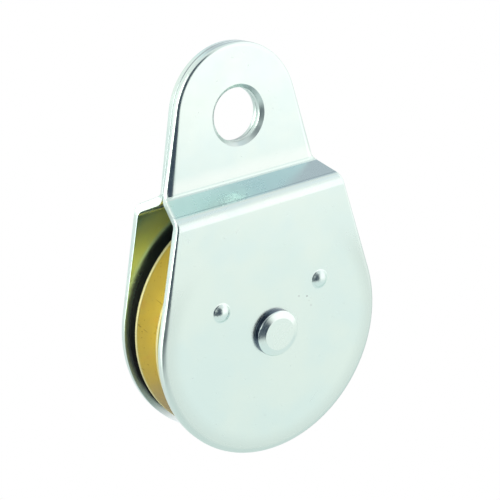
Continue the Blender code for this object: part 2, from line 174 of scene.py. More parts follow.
# Camera, found from the photograph's outlines: turned about the axle's middle
CAMERA_YAW = radians(33.314)
CAMERA_PITCH = radians(20.876)
CAMERA_ROLL = radians(-4.780)
CAMERA_DISTANCE = 361.71 * MM
CAMERA_RIGHT = -0.413 * MM        # from the axle's middle, in the picture's plane
CAMERA_UP = 21.893 * MM
CAMERA_LENS = 82.93               # mm, on a sensor 36 mm wide
SENSOR = 36.0


class Joggle:
    """Section through a cheek plate, from the flat cheek over two bends to the flat eye.

    The blank is drawn flat: s runs up it, and n is the distance out from its middle layer.
    """

    def __init__(self):
        outer = OUTER_BEND + PLATE / 2
        inner = INNER_BEND + PLATE / 2
        self.cheek_out = HALF_SPACING + PLATE / 2
        self.eye_out = TIGHT + PLATE / 2
        drop = self.cheek_out - self.eye_out
        self.slope = (drop - (outer + inner) * (1 - cos(JOGGLE_ANGLE))) / sin(JOGGLE_ANGLE)
        self.eye_start = (SHOULDER_HEIGHT + (outer + inner) * sin(JOGGLE_ANGLE)
                          + self.slope * cos(JOGGLE_ANGLE))

        self.stations = []
        for step in range(BEND_STEPS + 1):
            angle = JOGGLE_ANGLE * step / BEND_STEPS
            out = self.cheek_out - outer * (1 - cos(angle))
            up = SHOULDER_HEIGHT + outer * sin(angle)
            self.stations.append((SHOULDER_HEIGHT + outer * angle, out, up, angle))
        slope_end = self.stations[-1][0] + self.slope
        for step in range(BEND_STEPS + 1):
            angle = JOGGLE_ANGLE * (1 - step / BEND_STEPS)
            out = self.eye_out + inner * (1 - cos(angle))
            up = self.eye_start - inner * sin(angle)
            self.stations.append((slope_end + inner * (JOGGLE_ANGLE - angle), out, up, angle))

        self.shoulder = (self.stations[0][0] + self.stations[BEND_STEPS][0]) / 2
        self.neck = (self.stations[BEND_STEPS + 1][0] + self.stations[-1][0]) / 2
        self.eye_hole = self.stations[-1][0] + EYE_RISE

    def creases(self):
        """Where the blank is cut across: at each station, and just outside each bend."""
        cuts = [station[0] for station in self.stations]
        ends = (cuts[0], -SUPPORT), (cuts[BEND_STEPS], SUPPORT)
        ends += (cuts[BEND_STEPS + 1], -SUPPORT), (cuts[-1], SUPPORT)
        return cuts + [cut + beside for cut, beside in ends]

    def fold(self, s, n):
        """The outward and upward place of a point of the flat blank."""
        first, last = self.stations[0], self.stations[-1]
        if s <= first[0]:
            return self.cheek_out + n, s
        if s >= last[0]:
            return self.eye_out + n, last[2] + s - last[0]
        for low, high in zip(self.stations, self.stations[1:]):
            if s <= high[0]:
                share = (s - low[0]) / (high[0] - low[0])
                ends = [(out + n * cos(angle), up + n * sin(angle))
                        for _, out, up, angle in (low, high)]
                return tuple(a + (b - a) * share for a, b in zip(*ends))


JOGGLE = Joggle()


def arc(centre, radius, start, end, step=ARC_STEP):
    """Points along an arc, both ends included; angles run counterclockwise from +X."""
    steps = max(2, ceil(abs(end - start) / step))
    angles = [start + (end - start) * i / steps for i in range(steps + 1)]
    return [(centre[0] + radius * cos(a), centre[1] + radius * sin(a)) for a in angles]


def tangent_angle(centre, radius, point, side):
    """Where on a circle the line from a point touches it, on one side or the other."""
    away = Vector(point) - Vector(centre)
    return atan2(away.y, away.x) + side * acos(radius / away.length)


def on_circle(centre, radius, angle):
    return centre[0] + radius * cos(angle), centre[1] + radius * sin(angle)


def fillet(before, corner, after, radius, step=ARC_STEP):
    """The arc that rounds one corner of an outline."""
    corner = Vector(corner)
    back = (Vector(before) - corner).normalized()
    ahead = (Vector(after) - corner).normalized()
    half = acos(max(-1.0, min(1.0, back.dot(ahead)))) / 2
    centre = corner + (back + ahead).normalized() * radius / sin(half)
    touch_in = corner + back * radius * cos(half) / sin(half) - centre
    touch_out = corner + ahead * radius * cos(half) / sin(half) - centre
    start = atan2(touch_in.y, touch_in.x)
    sweep = (atan2(touch_out.y, touch_out.x) - start + pi) % (2 * pi) - pi
    return arc(centre, radius, start, start + sweep, step)


def quarter(steps):
    """Angles over a quarter turn, both ends included."""
    return [pi / 2 * i / steps for i in range(steps + 1)]


def spaced(points, step):
    """The same line with points added along its long straight stretches."""
    line = [points[0]]
    for start, end in zip(points, points[1:]):
        stretch = Vector(end) - Vector(start)
        count = ceil(stretch.length / step)
        line += [tuple(Vector(start) + stretch * (i + 1) / count) for i in range(count)]
    return line


def blank_outline():
    """Outline of the flat cheek blank, counterclockwise from its lowest point."""
    axle = (0.0, 0.0)
    eye = (0.0, JOGGLE.eye_hole + EYE_LIFT)
    shoulder = (SHOULDER_HALF_WIDTH, JOGGLE.shoulder)
    neck = (NECK_HALF_WIDTH, JOGGLE.neck)
    cheek_end = tangent_angle(axle, CHEEK_RADIUS, shoulder, -1)
    eye_begin = tangent_angle(eye, EYE_RADIUS, neck, 1)
    right = arc(axle, CHEEK_RADIUS, -pi / 2, cheek_end)
    right += fillet(right[-1], shoulder, neck, SHOULDER_ROUNDING)
    right += fillet(shoulder, neck, on_circle(eye, EYE_RADIUS, eye_begin), NECK_ROUNDING)
    right += arc(eye, EYE_RADIUS, eye_begin, pi / 2)
    right = spaced(right, OUTLINE_STEP)
    left = [(-x, s) for x, s in reversed(right[1:-1])]
    return right + left


def inset(outline, distances):
    """A closed outline moved inwards by a distance at each point; it runs counterclockwise."""
    moved = []
    count = len(outline)
    for i, (point, distance) in enumerate(zip(outline, distances)):
        before = (Vector(point) - Vector(outline[i - 1])).normalized()
        after = (Vector(outline[(i + 1) % count]) - Vector(point)).normalized()
        along = (before + after).normalized()
        inward = Vector((-along.y, along.x))
        stretch = distance / max(MITRE_LIMIT, along.dot(after))
        moved.append((point[0] + inward.x * stretch, point[1] + inward.y * stretch))
    return moved


def add_ring(shape, points, level):
    return [shape.verts.new((x, s, level)) for x, s in points]


def bridge(shape, rings):
    """Bands of faces between rings that have as many points each."""
    for near, far in zip(rings, rings[1:]):
        count = len(near)
        for i in range(count):
            j = (i + 1) % count
            shape.faces.new((near[i], near[j], far[j], far[i]))


def close_ring(shape, ring, middle):
    """Fans a ring in to one point at its middle."""
    tip = shape.verts.new(middle)
    for i, vertex in enumerate(ring):
        shape.faces.new((vertex, ring[(i + 1) % len(ring)], tip))


def fill_between(shape, rings):
    """Fills a flat face that has the first ring round it and the others as holes."""
    edges = [shape.edges.get((ring[i - 1], ring[i])) for ring in rings for i in range(len(ring))]
    bmesh.ops.triangle_fill(shape, use_beauty=True, edges=edges)


def finished(shape, name):
    """A mesh from a shape, with all its faces turned outwards."""
    bmesh.ops.recalc_face_normals(shape, faces=shape.faces)
    mesh = bpy.data.meshes.new(name)
    shape.to_mesh(mesh)
    shape.free()
    return mesh


def hole_rings(shape, centre, profile, steps):
    """Rings round a hole or a dimple, one for each (radius, level) of its profile."""
    return [add_ring(shape, arc(centre, radius, 0.0, 2 * pi, 2 * pi / steps)[:-1], level)
            for radius, level in profile]


def eye_hole_profile():
    """The eye hole's wall as (radius, level): a slanting coined lip outside, a sharper far edge."""
    face = PLATE / 2
    lip = EYE_HOLE_RADIUS + EYE_HOLE_LIP
    slant_end = EYE_HOLE_RADIUS + EYE_HOLE_ROUNDING * (1 - sin(COINED_ANGLE))
    drop = (lip - slant_end) * tan(COINED_ANGLE)
    level = face - drop - EYE_HOLE_ROUNDING * cos(COINED_ANGLE)
    profile = [(lip + SUPPORT, face), (lip, face),
               (slant_end + SUPPORT, face - drop + SUPPORT * tan(COINED_ANGLE))]
    for step in range(2 * EDGE_STEPS + 1):
        angle = COINED_ANGLE + (pi / 2 - COINED_ANGLE) * step / (2 * EDGE_STEPS)
        profile.append((EYE_HOLE_RADIUS + EYE_HOLE_ROUNDING * (1 - sin(angle)),
                        level + EYE_HOLE_ROUNDING * cos(angle)))
    burr = EYE_HOLE_RADIUS + EYE_HOLE_BURR
    far = [(burr - EYE_HOLE_BURR * sin(a), EYE_HOLE_BURR * (1 - cos(a)) - face)
           for a in quarter(EDGE_STEPS // 2)]
    return profile + list(reversed(far)) + [(burr + SUPPORT, -face)]


def axle_hole_profile():
    """The hole that the axle goes through, under its heads."""
    face = PLATE / 2
    bore = AXLE_RADIUS + SEAT
    return [(bore + TURNED_EDGE, face), (bore, face - TURNED_EDGE),
            (bore, TURNED_EDGE - face), (bore + TURNED_EDGE, -face)]


def dome_profile(radius):
    """A pressed dimple from its fillet in to just beside its middle, as (radius, height)."""
    sphere = (radius ** 2 + DIMPLE_HEIGHT ** 2) / (2 * DIMPLE_HEIGHT)
    half = acos((sphere - DIMPLE_HEIGHT) / sphere)
    bend = [(radius + DIMPLE_FILLET * across, DIMPLE_FILLET * up)
            for across, up in (FILLET_FOOT, FILLET_TOP)]
    foot = [(radius + DIMPLE_FILLET + SUPPORT, 0.0), (radius + DIMPLE_FILLET, 0.0)]
    angles = [half * (1 - i / DOME_STEPS) for i in range(1, DOME_STEPS)]
    cap = [(sphere * sin(a), sphere * cos(a) - sphere + DIMPLE_HEIGHT) for a in angles]
    return foot + bend + cap


def dimple(shape, side, face, radius):
    """One dimple's dome, or the hollow behind it, on a face of the blank; gives its first ring."""
    centre = (side * DIMPLE_OFFSET, DIMPLE_RISE)
    profile = [(r, face + height) for r, height in dome_profile(radius)]
    rings = hole_rings(shape, centre, profile, SMALL_STEPS)
    bridge(shape, rings)
    close_ring(shape, rings[-1], (*centre, face + DIMPLE_HEIGHT))
    return rings[0]


def roll_share(s):
    """How large the rolled edge is at a height of the blank, as a share of its usual size."""
    bend_start, bend_end = JOGGLE.stations[0][0], JOGGLE.stations[-1][0]
    if s < bend_start:
        thinned = max(0.0, 1.0 - (bend_start - s) / CHEEK_ROLL_RUN)
        return CHEEK_ROLL - (CHEEK_ROLL - BEND_THINNING) * thinned
    if s < bend_end:
        swollen = max(0.0, 1.0 - (bend_end - s) / SWELLING_RISE)
        return BEND_THINNING + (SWELLING - BEND_THINNING) * swollen
    return max(TOP_ROLL, SWELLING - (SWELLING - 1.0) * (s - bend_end) / EYE_RISE)


def edge_rings(shape, outline):
    """The plate's edge: rolled over by the punch at its outer face, sharper at its inner one."""
    face = PLATE / 2
    rolled = [(ROLLED_WIDTH * (1 - sin(a)), ROLLED_DEPTH * (1 - cos(a)))
              for a in quarter(2 * EDGE_STEPS)]
    shares = [roll_share(s) for _, s in outline]
    rings = []
    for by, drop in [(ROLLED_WIDTH + SUPPORT, 0.0)] + rolled:
        points = inset(outline, [by * share for share in shares])
        rings.append([shape.verts.new((x, s, face - drop * min(share, DEEPEST_ROLL)))
                      for (x, s), share in zip(points, shares)])
    sheared = [(SHEARED_EDGE * (1 - cos(a)), SHEARED_EDGE * (1 - sin(a)) - face)
               for a in quarter(EDGE_STEPS // 2)]
    sheared = [(0.0, SHEARED_EDGE + SUPPORT - face)] + sheared + [(SHEARED_EDGE + SUPPORT, -face)]
    for by, level in sheared:
        rings.append(add_ring(shape, inset(outline, [by] * len(outline)), level))
    return rings


def cheek_mesh(name):
    """A stamped cheek: the flat blank with all its edges, folded over the joggle."""
    shape = bmesh.new()
    face = PLATE / 2
    outline = blank_outline()
    edge = edge_rings(shape, outline)
    eye = hole_rings(shape, (0.0, JOGGLE.eye_hole), eye_hole_profile(), ROUND_STEPS)
    bore = hole_rings(shape, (0.0, 0.0), axle_hole_profile(), SMALL_STEPS)
    for rings in (edge, eye, bore):
        bridge(shape, rings)
    domes = [dimple(shape, side, face, DIMPLE_RADIUS) for side in (-1, 1)]
    hollows = [dimple(shape, side, -face, DIMPLE_RADIUS - DIMPLE_WALL) for side in (-1, 1)]
    fill_between(shape, [edge[0], eye[0], bore[0]] + domes)
    fill_between(shape, [edge[-1], eye[-1], bore[-1]] + hollows)

    for cut in JOGGLE.creases():
        geometry = shape.verts[:] + shape.edges[:] + shape.faces[:]
        bmesh.ops.bisect_plane(shape, geom=geometry, dist=WELD,
                               plane_co=(0.0, cut, 0.0), plane_no=(0.0, 1.0, 0.0))
    for vertex in shape.verts:
        across, s, n = vertex.co
        out, up = JOGGLE.fold(s, n)
        vertex.co = (across, -out, AXLE_Z + up)
    return finished(shape, name)


def supported(profile, closed):
    """A section with a point close to both ends of each long straight stretch of it."""
    count = len(profile)
    points = []
    for i, point in enumerate(profile):
        points.append(point)
        if not closed and i == count - 1:
            break
        start, end = Vector(point), Vector(profile[(i + 1) % count])
        stretch = end - start
        if stretch.length > 4 * SUPPORT:
            step = stretch.normalized() * SUPPORT
            points += [tuple(start + step), tuple(end - step)]
    return points


def revolved_mesh(name, section, closed, facing, steps=ROUND_STEPS, middle=(0.0, 0.0)):
    """Turns a section of (radius, height) about an axis along Y; facing +1 is up it at the back."""
    profile = supported(section, closed)
    shape = bmesh.new()
    rings = []
    for radius, height in profile:
        if radius < WELD:
            rings.append([shape.verts.new((middle[0], facing * height, AXLE_Z + middle[1]))])
            continue
        ring = []
        for i in range(steps):
            angle = 2 * pi * i / steps
            ring.append(shape.verts.new((middle[0] + radius * sin(angle), facing * height,
                                         AXLE_Z + middle[1] + radius * cos(angle))))
        rings.append(ring)
    if closed:
        rings.append(rings[0])
    for near, far in zip(rings, rings[1:]):
        for i in range(steps):
            j = (i + 1) % steps
            corners = [near[i % len(near)], near[j % len(near)], far[j % len(far)], far[i % len(far)]]
            shape.faces.new(list(dict.fromkeys(corners)))
    return finished(shape, name)


def put(name, data):
    """A new object in the scene."""
    made = bpy.data.objects.new(name, data)
    bpy.context.scene.collection.objects.link(made)
    return made


def add_piece(name, mesh, node, body, finish):
    """Puts a finished mesh in the scene in place of a node of the part."""
    mesh.shade_smooth()
    mesh.set_sharp_from_angle(angle=CREASE)
    mesh.materials.append(finish)
    piece = put(name, mesh)
    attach(piece, body)
    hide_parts(node)


def ring_section(inner, outer, low, high):
    """Section of a plain ring with broken edges."""
    corners = [(inner, high), (outer, high), (outer, low), (inner, low)]
    points = []
    for i, corner in enumerate(corners):
        points += fillet(corners[i - 1], corner, corners[(i + 1) % 4], TURNED_EDGE, CORNER_STEP)
    return points


def sheave_layer():
    """Middle layer of one dished half, from the collar's end out to the rim."""
    collar_bend = (WEB_START, WEB_MIDDLE + COLLAR_CURVE)
    root_bend = (WEB_END, WEB_MIDDLE + ROOT_CURVE)
    rope = (ROPE_CIRCLE, 0.0)
    rim = (SHEAVE_RADIUS, SHEAVE_WIDTH / 2 - SHEAVE_SHEET / 2)
    flank = tangent_angle(rope, GROOVE_CURVE, rim, 1)

    points = [(COLLAR_RADIUS, BUSHING_END - BUSHING_PROUD)]
    points += arc(collar_bend, COLLAR_CURVE, pi, 1.5 * pi, SECTION_STEP * 2)
    points += arc(root_bend, ROOT_CURVE, -pi / 2, ROOT_ANGLE - pi, SECTION_STEP)
    points += arc(rope, GROOVE_CURVE, ROOT_ANGLE, flank, SECTION_STEP)[1:]
    return points + [rim]


def thickened(layer, thickness, radius):
    """A sheet's closed section about its middle layer, with its two ends rounded."""
    sides = []
    for side in (1, -1):
        moved = []
        for i, point in enumerate(layer):
            before = Vector(layer[max(0, i - 1)])
            after = Vector(layer[min(len(layer) - 1, i + 1)])
            along = (after - before).normalized()
            moved.append((point[0] - side * along.y * thickness / 2,
                          point[1] + side * along.x * thickness / 2))
        sides.append(moved)
    left, right = sides
    start = fillet(right[1], right[0], left[0], radius, CORNER_STEP)
    start += fillet(right[0], left[0], left[1], radius, CORNER_STEP)
    end = fillet(left[-2], left[-1], right[-1], radius, CORNER_STEP)
    end += fillet(left[-1], right[-1], right[-2], radius, CORNER_STEP)
    return start + left[1:-1] + end + right[-2:0:-1]


def rivet_places():
    """Where the web rivets lie, as (across, up) from the axle's centre."""
    angles = [2 * pi * (i + 0.5) / WEB_RIVETS for i in range(WEB_RIVETS)]
    return [(WEB_RIVET_CIRCLE * sin(a), WEB_RIVET_CIRCLE * cos(a)) for a in angles]


def rivet_drill():
    """One cutter with a drill for each web rivet."""
    mesh = bpy.data.meshes.new("rivet_drill")
    shape = bmesh.new()
    lying = Matrix.Rotation(pi / 2, 4, "X")
    for across, up in rivet_places():
        bmesh.ops.create_cone(shape, cap_ends=True, segments=SMALL_STEPS,
                              radius1=WEB_RIVET_RADIUS + SEAT, radius2=WEB_RIVET_RADIUS + SEAT,
                              depth=SHEAVE_WIDTH,
                              matrix=Matrix.Translation((across, 0.0, AXLE_Z + up)) @ lying)
    shape.to_mesh(mesh)
    shape.free()
    return put("rivet_drill", mesh)


def cut_away(mesh, cutter):
    """A mesh with a cutter taken out of it."""
    blank = put(mesh.name, mesh)
    boolean = blank.modifiers.new("Drilled", "BOOLEAN")
    boolean.solver = "EXACT"
    boolean.operation = "DIFFERENCE"
    boolean.object = cutter
    bpy.context.view_layer.update()
    cut = bpy.data.meshes.new_from_object(blank.evaluated_get(bpy.context.evaluated_depsgraph_get()))
    bpy.data.objects.remove(blank, do_unlink=True)
    return cut


def rivet_section():
    """Section of a web rivet, round-headed at both ends."""
    under = WEB_MIDDLE + SHEAVE_SHEET / 2 + SEAT
    upper = [(WEB_RIVET_HEAD_RADIUS * sin(a), under + WEB_RIVET_HEAD_HEIGHT * cos(a))
             for a in quarter(DOME_STEPS)]
    upper.append((WEB_RIVET_RADIUS, under))
    return upper + [(r, -h) for r, h in reversed(upper)]


def head_section(shoulder, height, lip):
    """Half of the axle's section, with the flat-topped head at its end, from the middle of the top."""
    under = HALF_SPACING + PLATE + TIGHT
    side = HALF_SPACING + PLATE + SEAT + AXLE_HEAD_SIDE
    flat = AXLE_HEAD_RADIUS - shoulder
    crown = side + height
    slant = (AXLE_HEAD_RADIUS - lip, side + lip)
    top = [(0.0, crown)]
    top += fillet(top[-1], (flat, crown), slant, AXLE_HEAD_EASE)
    top += fillet((flat, crown), slant, (AXLE_HEAD_RADIUS, side), lip)
    top += fillet(slant, (AXLE_HEAD_RADIUS, side), (AXLE_HEAD_RADIUS, under), AXLE_HEAD_EASE / 2)
    top += fillet(top[-1], (AXLE_HEAD_RADIUS, under), (AXLE_RADIUS, under), 3 * TIGHT, CORNER_STEP)
    return top + [(AXLE_RADIUS, under)]


def axle_section():
    """Section of the axle, a rod upset into a shouldered head at each end."""
    front = head_section(FRONT_HEAD_SHOULDER, FRONT_HEAD_CROWN, FRONT_HEAD_LIP)
    rear = head_section(AXLE_HEAD_SHOULDER, AXLE_HEAD_CROWN, AXLE_HEAD_LIP)
    return front + [(r, -h) for r, h in reversed(rear)]


class Nodes:
    """Shorthand for wiring a node tree."""

    def __init__(self, tree):
        self.tree = tree

    def add(self, kind, **values):
        """A node with its properties and its input values set by name."""
        node = self.tree.nodes.new(kind)
        for key, value in values.items():
            if hasattr(node, key):
                setattr(node, key, value)
            else:
                node.inputs[key].default_value = value
        return node

    def link(self, source, target):
        self.tree.links.new(source, target)

    def feed(self, socket, value):
        """Gives a socket the output of another node, or a value of its own."""
        if isinstance(value, bpy.types.NodeSocket):
            self.link(value, socket)
        elif value is not None:
            socket.default_value = value

    def maths(self, operation, a, b=None):
        """A math node on sockets or numbers; gives its output."""
        node = self.tree.nodes.new("ShaderNodeMath")
        node.operation = operation
        for socket, value in zip(node.inputs, (a, b)):
            self.feed(socket, value)
        return node.outputs[0]

    def times(self, a, b):
        return self.maths("MULTIPLY", a, b)

    def larger(self, a, b):
        return self.maths("MAXIMUM", a, b)

    def raised(self, value, mask, share):
        """A value with a share of a mask added to it."""
        return self.maths("ADD", value, self.times(mask, share))

    def length(self, a, b):
        """Length of a flat vector, from its two parts."""
        squares = self.maths("ADD", self.maths("POWER", a, 2.0), self.maths("POWER", b, 2.0))
        return self.maths("SQRT", squares)

    def span(self, value, low, high, to_low=0.0, to_high=1.0):
        """A smooth step of a value from one range to another."""
        node = self.tree.nodes.new("ShaderNodeMapRange")
        node.interpolation_type = "SMOOTHSTEP"
        for socket, number in zip(node.inputs[:5], (value, low, high, to_low, to_high)):
            self.feed(socket, number)
        return node.outputs[0]

    def fall(self, value, low, high):
        """A smooth step down from one to nothing."""
        return self.span(value, low, high, 1.0, 0.0)

    def between(self, value, low, high, edge):
        """Mask of the values between two limits, soft over an edge's width outside each."""
        return self.times(self.span(value, low - edge, low), self.fall(value, high, high + edge))

    def blend(self, share, first, second):
        """Mixes two colours by a share."""
        node = self.tree.nodes.new("ShaderNodeMix")
        node.data_type = "RGBA"
        self.feed(node.inputs[0], share)
        for socket, colour in zip(node.inputs[6:8], (first, second)):
            self.feed(socket, colour if isinstance(colour, bpy.types.NodeSocket) else (*colour, 1.0))
        return node.outputs[2]

    def tint(self, tone, mask, colour, strength=1.0):
        """Lays a colour over a tone where a mask is set."""
        if strength < 1.0:
            mask = self.times(mask, strength)
        return self.blend(mask, tone, colour)

    def noise(self, vector, scale, detail=3.0, roughness=0.5, stretch=None):
        """Noise over the surface, in features per metre; stretch squeezes it along the axes."""
        if stretch:
            mapping = self.add("ShaderNodeMapping", Scale=stretch)
            self.link(vector, mapping.inputs["Vector"])
            vector = mapping.outputs[0]
        node = self.add("ShaderNodeTexNoise", Scale=scale, Detail=detail, Roughness=roughness)
        self.link(vector, node.inputs["Vector"])
        return node.outputs["Fac"]

    def parts(self, vector):
        """The X, Y and Z of a vector."""
        node = self.add("ShaderNodeSeparateXYZ")
        self.link(vector, node.inputs[0])
        return node.outputs

    def facing(self):
        """The X, Y and Z of the way that the surface faces."""
        return self.parts(self.add("ShaderNodeTexCoord").outputs["Normal"])


def new_metal(name, metallic=1.0):
    """A metal with its own node tree; gives the material, its nodes, its shader and the place on it."""
    made = bpy.data.materials.new(name)
    made.use_nodes = True
    shader = made.node_tree.nodes["Principled BSDF"]
    shader.inputs["Metallic"].default_value = metallic
    nodes = Nodes(made.node_tree)
    place = nodes.add("ShaderNodeTexCoord").outputs["Object"]
    return made, nodes, shader, place


SCRATCH_SQUEEZE = (1.0, 1.0, 0.035)   # makes grains of noise into lines
SCRATCH_EDGE = 0.03
SCRATCH_BREAKS = 0.52, 0.62


def scratches(nodes, place, scale, angle, thin):
    """Fine straight marks that run one way, as a mask; thin is how rare they are."""
    turn = nodes.add("ShaderNodeMapping", Rotation=(0.0, angle, 0.0))
    nodes.link(place, turn.inputs["Vector"])
    lines = nodes.noise(turn.outputs[0], scale, 2.0, 0.5, SCRATCH_SQUEEZE)
    breaks = nodes.noise(place, scale / 4, 1.0)
    return nodes.times(nodes.span(lines, thin, thin + SCRATCH_EDGE), nodes.span(breaks, *SCRATCH_BREAKS))


def add_bump(nodes, shader, height, distance):
    bump = nodes.add("ShaderNodeBump", Strength=1.0, Distance=distance)
    nodes.link(height, bump.inputs["Height"])
    nodes.link(bump.outputs["Normal"], shader.inputs["Normal"])


# Colours of the bright zinc: the plate's own, then where it is worn or marked; then painted light: a
# painted reflection on the slope, painted shade in the inner bend and along the outer bend, a painted
# sheen on the eye above the bend, and painted shade round the cheek's border
ZINC = (0.735, 0.865, 0.795)
ZINC_COOL = (0.70, 0.85, 0.80)
ZINC_WORN_AND_SHADE = (0.60, 0.72, 0.68)
ZINC_MARK = (0.25, 0.27, 0.28)
ZINC_SLOPE_LEFT = (0.67, 0.88, 0.83)
ZINC_SLOPE_RIGHT = (0.54, 0.72, 0.73)
ZINC_BEND_SHADE_LINE = (0.28, 0.38, 0.42)
ZINC_INNER_BEND_SHADE = (0.66, 0.82, 0.75)
ZINC_PAINTED_SHEEN = (0.82, 0.92, 0.86)
ZINC_BORDER_SHADE = (0.64, 0.76, 0.70)

# And painted light where it is shut in: painted shade in the seam, painted shade, a painted reflection
# of the sheave and painted light inside the cheeks from the top down, and painted shade on the heads'
# sides
ZINC_SEAM = (0.42, 0.50, 0.50)
ZINC_INSIDE_TOP = (0.36, 0.53, 0.62)
ZINC_INSIDE = (0.72, 1.0, 0.78)
ZINC_INSIDE_DARK = (0.35, 0.45, 0.42)
ZINC_INSIDE_LOW = (0.95, 1.0, 1.0)
ZINC_SHADED = (0.10, 0.13, 0.19)

# Colours of the yellow zinc
GOLD = (0.79, 0.67, 0.185)
GOLD_PALE = (0.73, 0.64, 0.22)
GOLD_ROSY = (0.78, 0.58, 0.21)
GOLD_WORN = (0.30, 0.22, 0.07)
GOLD_LOW = (0.54, 0.46, 0.29)
GOLD_REAR_SHADE = (0.08, 0.06, 0.07)
GOLD_RIM = (0.46, 0.44, 0.22)
GOLD_METALLIC = 0.55

# Colours of the hidden pieces
BRONZE = (0.42, 0.26, 0.11)
BRONZE_DARK = (0.33, 0.20, 0.09)
BRONZE_PORE = (0.09, 0.06, 0.03)
STEEL = (0.44, 0.44, 0.43)
STEEL_DARK = (0.34, 0.34, 0.34)

# How far a face has to turn for a mask, as the size of its normal's part
REARWARD = 0.15, 0.4
SQUARE_ON = 0.9, 0.98
SLOPING = 0.82, 0.90

# Where the looks change: two places each, from the first to the second, or three numbers where
# they hold between two places and blur over the third outside them
INWARD = -6 * MM, -3 * MM             # from the middle plane, times the facing
REAR_HALF = 0.0, 1.0 * MM
COINED_EDGE = EYE_HOLE_RADIUS + EYE_HOLE_LIP
COINED = COINED_EDGE - 0.1 * MM, COINED_EDGE + 0.1 * MM
COINED_SMEAR = COINED_EDGE - 0.1 * MM, COINED_EDGE + 0.3 * MM
BEND_BLUR = 1.0 * MM
# The joggle's painted light: a reflection across the slope, shade in the inner bend, a sheen on the eye
# just above it, a shade line along the outer bend
SLOPE_ACROSS = -20 * MM, 5 * MM
BEND_TOP = AXLE_Z + JOGGLE.eye_start
INNER_BEND_SHADE = BEND_TOP - 0.60 * MM, BEND_TOP - 0.05 * MM, 0.40 * MM
FOOT_START = BEND_TOP + 0.2 * MM, BEND_TOP + 0.6 * MM
FOOT_END = BEND_TOP + 1.5 * MM, BEND_TOP + 6.0 * MM
BEND_LINE = AXLE_Z + SHOULDER_HEIGHT + (OUTER_BEND + PLATE) * sin(JOGGLE_ANGLE)
BEND_LINE_WIDTH = 0.10 * MM
BEND_LINE_BLUR = 0.05 * MM
SEAM = 0.18 * MM, 0.38 * MM
SEAM_OUTSIDE = 11 * MM, 12 * MM
BORDER_TOP = AXLE_Z + 12 * MM, AXLE_Z + 30 * MM
# Painted shade round the cheek's border
SHADED_BORDER = CHEEK_RADIUS - 7.5 * MM, CHEEK_RADIUS - 1.0 * MM
ROUGH_BORDER = CHEEK_RADIUS - 2.2 * MM, CHEEK_RADIUS - 1.6 * MM
DIMPLE_REACH = DIMPLE_RADIUS, DIMPLE_RADIUS + 0.2 * MM
CHEEK_FACE = HALF_SPACING + PLATE
HEAD_CORNER = CHEEK_FACE + 0.06 * MM, CHEEK_FACE + SEAT + AXLE_HEAD_SIDE, 0.05 * MM
HEAD_WALL = 7.1 * MM, 7.8 * MM, 0.2 * MM
HEAD_RUBBED = 7.6 * MM, 10.5 * MM
# Inside the cheeks: painted shade at the top, a darker band lower down, and painted light at the bottom
INSIDE_TOP = -42 * MM, -30 * MM
INSIDE_DARK_BAND = -68 * MM, -54 * MM
INSIDE_LOW = -98 * MM, -86 * MM
# Painted shade on the lower part of the sheave
GOLD_LOW_PART = AXLE_Z - 26 * MM, AXLE_Z - 2 * MM
GOLD_RIM_EDGE = SHEAVE_RADIUS - 0.30 * MM, SHEAVE_RADIUS - 0.05 * MM

# Specks and nicks on the front, each (x, y, z, radius) in millimetres
HANDLING_MARKS = (
    (13.06, -12.5, -58.47, 0.20), (10.02, -12.5, -57.53, 0.14), (13.71, -12.5, -60.19, 0.07),
    (14.36, -12.5, -61.93, 0.11), (27.38, -12.5, -65.35, 0.09), (-6.08, -12.5, -92.89, 0.09),
    (14.48, -9.79, -22.42, 0.18), (-7.40, -2.65, -18.55, 0.14), (27.28, -9.19, -22.16, 0.14),
)
MARK_BLUR = 0.12


def inner_face(nodes, place):
    """Mask of the faces that look inwards, towards the block's middle plane."""
    outward = nodes.times(nodes.facing()["Y"], nodes.parts(place)["Y"])
    return nodes.fall(outward, *INWARD)


def rear_face(nodes, place):
    """Mask of the faces on the rear half that look to the rear, which get painted shade."""
    behind = nodes.span(nodes.parts(place)["Y"], *REAR_HALF)
    return nodes.times(behind, nodes.span(nodes.facing()["Y"], *REARWARD))


def flat_share(nodes):
    """Mask of the faces that lie square to the axle."""
    return nodes.span(nodes.maths("ABSOLUTE", nodes.facing()["Y"]), *SQUARE_ON)


def distance_from(nodes, place, level):
    """Distance from the line along Y through the middle of the block at one height."""
    where = nodes.parts(place)
    return nodes.length(where["X"], nodes.maths("SUBTRACT", where["Z"], level))


def coined_lip(nodes, place):
    """Mask of the eye hole's wall and its coined lip, which get painted shade."""
    return nodes.fall(distance_from(nodes, place, 0.0), *COINED)


def worked_metal(nodes, place):
    """How much the tools have dulled the metal: half round the eye hole, and a third over the bends."""
    hole = nodes.span(distance_from(nodes, place, 0.0), *COINED_SMEAR, 0.5, 0.0)
    height = nodes.parts(place)["Z"]
    low = AXLE_Z + SHOULDER_HEIGHT
    above = nodes.span(height, low, low + BEND_BLUR)
    below = nodes.span(height, BEND_TOP - BEND_BLUR, BEND_TOP, 0.35, 0.0)
    return nodes.larger(hole, nodes.times(above, below))


def head_side(nodes, place):
    """Mask of the upright side of the axle's heads, in the corner on the plate, which gets painted
    shade.
    """
    out = nodes.maths("ABSOLUTE", nodes.parts(place)["Y"])
    ring = nodes.between(distance_from(nodes, place, AXLE_Z), *HEAD_WALL)
    return nodes.times(nodes.between(out, *HEAD_CORNER), ring)


def head_surround(nodes, place):
    """Mask of the flat plate round the axle's head, rubbed by the riveting tool."""
    near = nodes.fall(distance_from(nodes, place, AXLE_Z), *HEAD_RUBBED)
    return nodes.times(near, flat_share(nodes))


